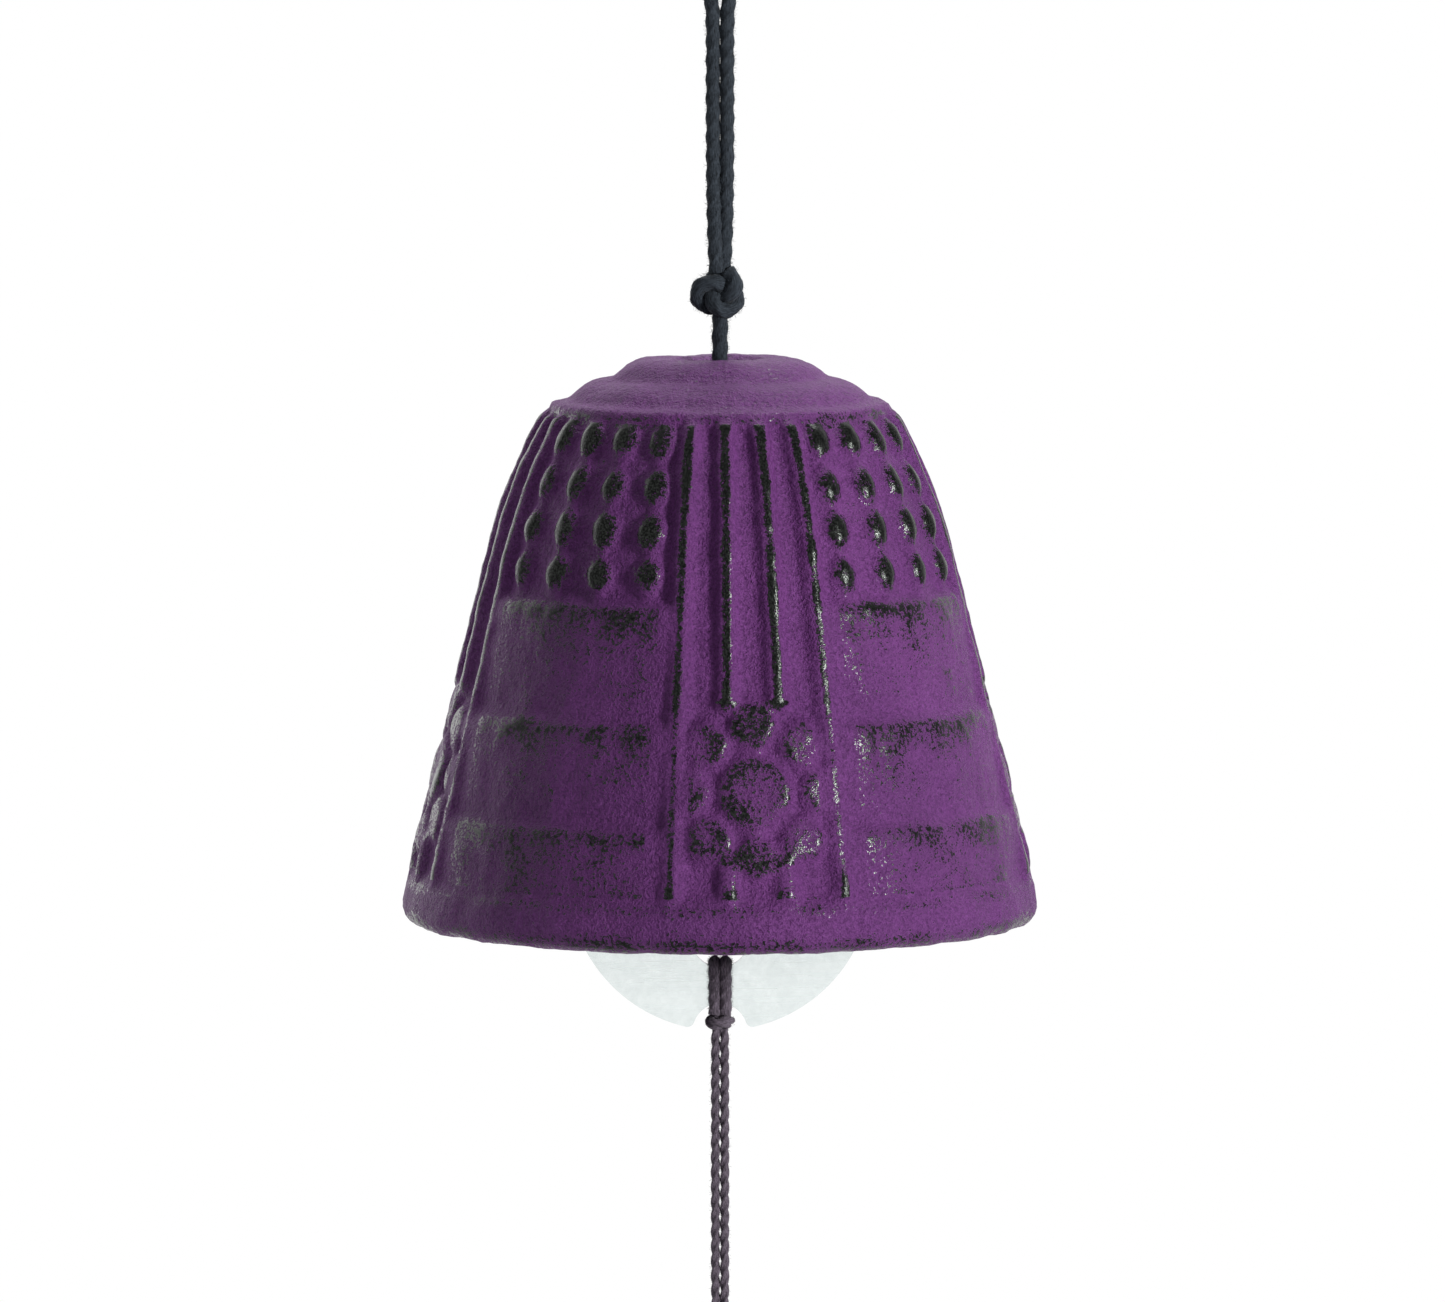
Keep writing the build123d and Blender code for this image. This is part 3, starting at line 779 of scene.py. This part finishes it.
# %% [markdown]
# ## The bell
# The real bell is cast in sand, so no edge on it is sharp: ribs, bosses and panel steps all run
# into the wall in small hollows. The measured solid has the right relief but crisp edges. A fine
# skin is spun from the bell's section, pressed on that solid with a Shrinkwrap modifier, and then
# smoothed, as the sand smooths it. Smoothing also wears relief down, so the relief is widened by
# one column and raised a little first. The skin's rows and columns stay even, so the paint's wear
# can be worked out from its shape afterwards. A corner of the section is its radius, its height
# above the mouth, both in mm, and the rows of faces that lead to it.

# %% Bell section
MOUTH = BELL_LOW.z
BELL_COLUMNS = 528
SECTION = [
    (1.75, 57.3, 2),
    (1.75, 61.5, 2),
    (4.05, 61.5, 1),
    (4.85, 62.3, 1),
    (7.4, 62.3, 4),
    (10.6, 61.7, 6),
    (11.9, 60.1, 4),
    (15.6, 59.3, 8),
    (16.9, 57.8, 5),
    (18.3, 57.6, 2),
    (18.75, 57.0, 2),
    (18.85, 55.9, 3),
    (20.23, 53.0, 7),
    (22.02, 49.0, 10),
    (24.62, 41.0, 20),
    (33.55, 5.6, 85),
    (34.5, 4.9, 2),
    (35.0, 2.0, 5),
    (34.4, 0.6, 2),
    (33.0, 0.0, 2),
    (30.46, 0.0, 2),
    (30.46, 5.2, 2),
    (21.7, 40.3, 4),
    (19.2, 48.5, 2),
    (16.8, 54.2, 2),
    (15.6, 56.2, 1),
    (13.2, 57.3, 1),
]
print(f"{len(SECTION)} corners, {sum(row for _, _, row in SECTION)} rows")


# %% Spin the skin
def spun_skin(name):
    """Spin the section, its runs divided into rows, once round the bell's axis."""
    mesh = bpy.data.meshes.new(name)
    foot = Vector((0, 0, MOUTH))
    corners = [foot + Vector((radius, 0, height)) * MM for radius, height, _ in SECTION]
    places = []
    for number, (_, _, rows) in enumerate(SECTION):
        start, end = corners[number - 1], corners[number]
        places += [start.lerp(end, (row + 1) / rows) for row in range(rows)]
    edges = [(number, (number + 1) % len(places)) for number in range(len(places))]
    mesh.from_pydata(places, edges, [])
    skin = bpy.data.objects.new(name, mesh)
    bpy.context.scene.collection.objects.link(skin)
    pick(skin)
    bpy.ops.object.mode_set(mode="EDIT")
    bpy.ops.mesh.select_all(action="SELECT")
    bpy.ops.mesh.spin(steps=BELL_COLUMNS, angle=2 * math.pi, center=(0, 0, 0), axis=(0, 0, 1))
    bpy.ops.mesh.select_all(action="SELECT")
    bpy.ops.mesh.remove_doubles(threshold=0.01 * MM)
    bpy.ops.mesh.normals_make_consistent(inside=False)
    bpy.ops.object.mode_set(mode="OBJECT")
    return skin


def rows_of_three(source, field):
    """One field of a mesh's points, three numbers to a row."""
    values = np.zeros(len(source) * 3, np.float32)
    source.foreach_get(field, values)
    return values.reshape(-1, 3).astype(float)


def points_of(mesh):
    """Where a mesh's points are."""
    return rows_of_three(mesh.vertices, "co")


bell = spun_skin("bell_casting")
print(f"{len(bell.data.vertices)} points, {2 * len(bell.data.polygons)} triangles")

# %% Press the relief
RELIEF_GAIN = 1.2
QUARTER = 90.0
BAND_AZIMUTH = 7.0
PETAL_HALF = 13.4
FLOWER_TOP = 27.0
FLOWER_FOOT = 10.0
FLANK_FOOT = 6.0
FLANK_TOP = 56.2
CROWN_FOOT = 57.5
DISH_EDGE = 5.2 * MM
DEEPEST_RELIEF = 1.4 * MM

bare_wall = points_of(bell.data)
bare_normals = rows_of_three(bell.data.vertex_normals, "vector")
press = bell.modifiers.new("press", "SHRINKWRAP")
press.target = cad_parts["bell"]
press.wrap_method = "PROJECT"
press.use_negative_direction = True
press.use_positive_direction = True
press.project_limit = DEEPEST_RELIEF
apply_modifiers(bell)

edge_pairs = np.zeros(len(bell.data.edges) * 2, np.int32)
bell.data.edges.foreach_get("vertices", edge_pairs)
edge_pairs = edge_pairs.reshape(-1, 2)
height = (bare_wall[:, 2] - MOUTH) / MM
radius = np.hypot(bare_wall[:, 0], bare_wall[:, 1])
outward = (bare_wall[:, :2] * bare_normals[:, :2]).sum(axis=1) / radius
flank = (outward > 0.3) & (height > FLANK_FOOT) & (height < FLANK_TOP)
outside = (outward > 0.15) | ((height > CROWN_FOOT) & (radius > DISH_EDGE))
places = points_of(bell.data)
relief = ((places - bare_wall) * bare_normals).sum(axis=1)
azimuth = np.degrees(np.arctan2(bare_wall[:, 0], -bare_wall[:, 1]))
from_band = np.abs((azimuth - BAND_AZIMUTH + QUARTER / 2) % QUARTER - QUARTER / 2)


def widened(values, edges):
    """Each point's value, or its highest neighbour's."""
    wide = values.copy()
    for near, far in (edges.T, edges.T[::-1]):
        np.maximum.at(wide, near, values[far])
    return wide


wide = widened(relief, edge_pairs)
petals = (from_band < PETAL_HALF) & (height > FLOWER_FOOT) & (height < FLOWER_TOP)
wide = np.where(petals, widened(wide, edge_pairs), wide)
lift = np.where(flank, RELIEF_GAIN * wide - relief, 0.0)
raised = places + bare_normals * lift[:, None]
bell.data.vertices.foreach_set("co", raised.astype(np.float32).ravel())
bell.vertex_groups.new(name="outside").add(np.nonzero(outside)[0].tolist(), 1.0, "REPLACE")
print(f"relief up to {relief[flank].max() / MM:.2f} mm")

# %% Softness and unevenness
SAND_PASSES = 9
UNEVENNESS = (("hand", 4.5 * MM, 0.45 * MM), ("sand_grain", 1.0 * MM, 0.14 * MM))

sand = bell.modifiers.new("sand", "SMOOTH")
sand.factor = 0.5
sand.iterations = SAND_PASSES
sand.vertex_group = "outside"
for name, grain, strength in UNEVENNESS:
    clouds = bpy.data.textures.new(name, "CLOUDS")
    clouds.noise_scale = grain
    clouds.noise_depth = 1
    uneven = bell.modifiers.new(name, "DISPLACE")
    uneven.texture = clouds
    uneven.texture_coords = "LOCAL"
    uneven.strength = strength
    uneven.mid_level = 0.5
apply_modifiers(bell)
print(f"{len(UNEVENNESS)} kinds of unevenness on the casting")

# %% [markdown]
# ### Where the paint is rubbed off
# The finished bell is rubbed while the paint is fresh, so dark iron shows wherever the casting
# stands out: along rib crests, on boss tops, on the petals' rims and on the panels' upper edges.
# How far the relief stands above its own blurred surroundings says just that. Some forms are rubbed
# harder than others, so each kind has an amount taken off, and along a rib only a narrow line on
# its crest is rubbed through. The bead and the rim belong to the plain wall, so they get worn
# rings of their own: height, width and depth in mm.


# %% Wear from the shape
WORN_RINGS = [(56.6, 0.8, 0.50), (4.9, 0.8, 0.40), (1.0, 1.3, 0.40)]
HEIGHT_SHARE = 0.15
BLUR_PASSES = 40
RIB_ANGLES = (5.5, 16.3)
RIB_LINE_HALF = 0.44
RIB_LINE_FALL = 0.31
BAND_HALF = 21.0
BOSS_FOOT = 37.5
STUB_TOP = 9.6
STUB_HALF = 9.0
RUBBED_LESS = {
    "ribs": -0.03,
    "outer_ribs": 0.0,
    "flower": 0.04,
    "stubs": 0.45,
    "bosses": -0.05,
    "steps": 0.03,
    "plain": 0.16,
}


def blurred(values, edges, times):
    """Each point's value averaged with its neighbours', several times over."""
    first, second = edges[:, 0], edges[:, 1]
    count = np.bincount(edges.ravel(), minlength=len(values))
    for _ in range(times):
        total = np.bincount(first, weights=values[second], minlength=len(values))
        total += np.bincount(second, weights=values[first], minlength=len(values))
        values = (values + total) / (1 + count)
    return values


relief = ((points_of(bell.data) - bare_wall) * bare_normals).sum(axis=1) / MM
relief = np.where(flank, relief, 0.0)
wear = relief - blurred(relief, edge_pairs, BLUR_PASSES) + HEIGHT_SHARE * relief
in_band = from_band < BAND_HALF
off_crest = np.min([np.abs(from_band - angle) for angle in RIB_ANGLES], axis=0)
off_crest = np.radians(off_crest) * radius / MM
beside = RIB_LINE_FALL * (off_crest / RIB_LINE_HALF) ** 2
outer_part = RUBBED_LESS["outer_ribs"] + beside
band_part = np.where(from_band > PETAL_HALF, outer_part, RUBBED_LESS["flower"])
band_part = np.where(height > FLOWER_TOP, RUBBED_LESS["ribs"] + beside, band_part)
stubs = (height < STUB_TOP) & (from_band < STUB_HALF) & (from_band > STUB_HALF / 2)
band_part = np.where(stubs, RUBBED_LESS["stubs"], band_part)
panel_part = np.where(height > BOSS_FOOT, RUBBED_LESS["bosses"], RUBBED_LESS["steps"])
wear -= np.where(flank, np.where(in_band, band_part, panel_part), RUBBED_LESS["plain"])
for middle, width, depth in WORN_RINGS:
    wear += np.where(outside, depth * np.exp(-(((height - middle) / width) ** 2)), 0.0)
wear_data = bell.data.attributes.new("wear", "FLOAT", "POINT").data
wear_data.foreach_set("value", wear.astype(np.float32))
print("wear, mm:", np.round(np.percentile(wear[flank], [1, 10, 50, 90, 99]), 3))

# %% [markdown]
# ### Bell finish
# The paint is a matt purple with a pebbled skin, and rubbing takes the pebbles' tops off first.
# So one noise is both the pebbles' height and the border of the wear, and finer grain and wide
# patches make that border ragged. The paint is darker in the pebbles' hollows and lighter on their
# tops, partly its own uneven tone and partly painted shade. Bare iron is nearly black, with bright
# grains where the lamp strikes them.


# %% Bell finish
PEBBLE_RUB = 3.2
GRAIN_RUB = 2.6
PATCH_RUB = 1.4
LEAST_RUB = -4.69
MOST_RUB = 3.71


def rubbed_purple():
    """Purple paint over iron, which shows where the wear gets through."""
    finish = Finish("rubbed_purple_iron")
    place = finish.coordinates()
    stands_out = finish.node("Attribute", {"attribute_name": "wear"}).outputs["Fac"]
    pebbles = finish.noise(place, 2200.0, 3.0, 0.6)
    patches = finish.noise(place, 170.0, 2.0, 0.5)
    grain = finish.noise(place, 5000.0, 2.0, 0.6)

    rubbed = finish.fit(stands_out, -0.4, 0.8, LEAST_RUB, MOST_RUB)
    for noise, reach in ((pebbles, PEBBLE_RUB), (grain, GRAIN_RUB), (patches, PATCH_RUB)):
        rubbed = finish.maths("ADD", rubbed, finish.fit(noise, 0.2, 0.8, -reach, reach))
    iron = finish.fit(rubbed, -0.25, 0.25, smooth=True)

    mottle = finish.fit(finish.noise(place, 60.0, 3.0, 0.6), 0.3, 0.7)
    # Painted shade: the paint is darker in the pebbles' hollows and lighter on their tops, partly its
    # own tone and partly standing in for the shade of the pebbled skin.
    tops = finish.fit(finish.maths("ADD", pebbles, grain), 0.8, 1.2)
    shaded_hollow = finish.mix(mottle, colour(70, 33, 78), colour(80, 39, 88))
    lit_top = finish.mix(mottle, colour(95, 49, 105), colour(107, 57, 117))
    paint = finish.mix(tops, shaded_hollow, lit_top)
    bare = finish.mix(finish.fit(grain, 0.45, 0.65), colour(18, 19, 18), colour(48, 50, 48))
    skin = finish.bump(pebbles, 0.36 * MM, 1.0)
    skin = finish.bump(grain, 0.16 * MM, 1.0, skin)
    flakes = finish.bump(grain, 0.032 * MM, 1.0)
    normal = finish.node("Mix", {"data_type": "VECTOR"})
    finish.join(normal.inputs["Factor"], iron)
    finish.join(normal.inputs[4], skin)
    finish.join(normal.inputs[5], flakes)
    return finish.surface(
        Base_Color=finish.mix(iron, paint, bare),
        Metallic=iron,
        Roughness=finish.fit(iron, 0.0, 1.0, 0.48, 0.23),
        Specular_IOR_Level=0.10,
        Normal=normal.outputs[1],
    )


dress(bell, rubbed_purple())
pick(bell)
bpy.ops.object.shade_smooth()
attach(bell, "bell")
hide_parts("bell")

# %% [markdown]
# ## Clapper disc
# The clapper is stamped from thin aluminium sheet: a round blank with a hole and a notch above and
# below. The measured part already has that shape, so it only gets its finish, a satin metal with
# the faint direction of the rolled sheet and a few scratches.


# %% Clapper finish
def satin_sheet():
    """Pale rolled sheet with faint scratches."""
    finish = Finish("satin_sheet_metal")
    place = finish.coordinates()
    rolled = finish.noise(finish.stretch(place, (60.0, 60.0, 1400.0)), 1.0, 3.0, 0.6)
    cloud = finish.noise(place, 700.0, 4.0, 0.75)
    scratch = finish.noise(finish.stretch(place, (140.0, 140.0, 3600.0)), 1.0, 2.0, 0.5)
    marks = finish.fit(scratch, 0.70, 0.78)
    tint = finish.mix(finish.fit(cloud, 0.3, 0.7), colour(226, 233, 232), colour(238, 244, 243))
    tint = finish.mix(finish.maths("MULTIPLY", marks, 0.25), tint, colour(180, 188, 186))
    height = finish.share(rolled, 0.5, cloud)
    return finish.surface(
        Base_Color=tint,
        Metallic=1.0,
        Roughness=finish.fit(rolled, 0.3, 0.7, 0.22, 0.30),
        Normal=finish.bump(height, 0.03 * MM, 0.4),
    )


dress(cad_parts["clapper_disc"], satin_sheet())

# %% [markdown]
# ## Paper strip
# The strip is plain handmade paper, punched near the top for the twine. Paper that hangs in the air
# is never quite flat, so a finely divided sheet gets a slight curl across and a bow along, and a
# Solidify modifier gives it its thickness. The hole is cut from the flat grid before it is bent.

# %% Paper strip
STRIP_LOW, STRIP_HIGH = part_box("wind_strip")
STRIP_WIDTH = STRIP_HIGH.x - STRIP_LOW.x
STRIP_LENGTH = STRIP_HIGH.z - STRIP_LOW.z
HOLE_RADIUS = 2.0 * MM
CURL = 1.1 * MM
BOW = 0.8 * CURL
FLAT_UNTIL = 0.09
CURLED_WITHIN = 0.3
PAPER = 0.3 * MM

bpy.ops.object.select_all(action="DESELECT")
bpy.ops.mesh.primitive_grid_add(
    x_subdivisions=40, y_subdivisions=108, size=1.0, location=(0, 0, 0), rotation=(math.pi / 2, 0, 0)
)
strip = bpy.context.object
strip.name = "wind_strip_paper"
strip.scale = (STRIP_WIDTH, STRIP_LENGTH, 1)
strip.location = (0, 0, (STRIP_LOW.z + STRIP_HIGH.z) / 2)
bpy.ops.object.transform_apply(location=True, rotation=True, scale=True)
hole_middle = Vector((0, 0, STRIP_HOLE_EDGE - HOLE_RADIUS))
bpy.ops.mesh.primitive_cylinder_add(
    vertices=48, radius=HOLE_RADIUS, depth=10 * MM, location=hole_middle, rotation=(math.pi / 2, 0, 0)
)
punch = bpy.context.object
solid = strip.modifiers.new("thickness", "SOLIDIFY")
solid.thickness = PAPER
solid.offset = 0.0
cut = strip.modifiers.new("punched", "BOOLEAN")
cut.operation = "DIFFERENCE"
cut.object = punch
apply_modifiers(strip)
bpy.data.objects.remove(punch)

for vertex in strip.data.vertices:
    down = (STRIP_TOP - vertex.co.z) / STRIP_LENGTH
    aside = 2 * vertex.co.x / STRIP_WIDTH
    free = min(1.0, max(0.0, (down - FLAT_UNTIL) / CURLED_WITHIN))
    vertex.co.y += free * (CURL * (aside**2 - 0.4) + BOW * math.sin(math.pi * down * 1.3))
pick(strip)
bpy.ops.object.shade_smooth_by_angle(angle=math.radians(35))
print(f"strip of {STRIP_WIDTH / MM:.0f} by {STRIP_LENGTH / MM:.0f} mm")


# %% Paper finish
def handmade_paper():
    """Cream paper with clouds and long fibres in it."""
    finish = Finish("handmade_paper")
    place = finish.coordinates()
    pulp = finish.noise(place, 900.0, 4.0, 0.65)
    clouds = finish.noise(place, 70.0, 3.0, 0.6)
    warped = finish.node("VectorMath", {"operation": "ADD"})
    drift = finish.node("TexNoise", Vector=place, Scale=90.0, Detail=2.0)
    shift = finish.node("VectorMath", {"operation": "SCALE"}, Vector=drift.outputs["Color"], Scale=0.02)
    finish.join(warped.inputs[0], place)
    finish.join(warped.inputs[1], shift.outputs[0])
    fibres = finish.noise(finish.stretch(warped.outputs[0], (900.0, 900.0, 90.0)), 1.0, 2.0, 0.4)
    strands = finish.fit(fibres, 0.66, 0.72)
    sheet = finish.mix(finish.fit(clouds, 0.3, 0.7), colour(219, 207, 181), colour(229, 219, 196))
    sheet = finish.mix(finish.maths("MULTIPLY", strands, 0.5), sheet, colour(184, 166, 132))
    height = finish.share(pulp, 0.6, strands)
    return finish.surface(
        Base_Color=sheet,
        Roughness=0.85,
        Specular_IOR_Level=0.2,
        Normal=finish.bump(height, 0.06 * MM, 0.7),
    )


dress(strip, handmade_paper())
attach(strip, "wind_strip")
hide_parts("wind_strip")
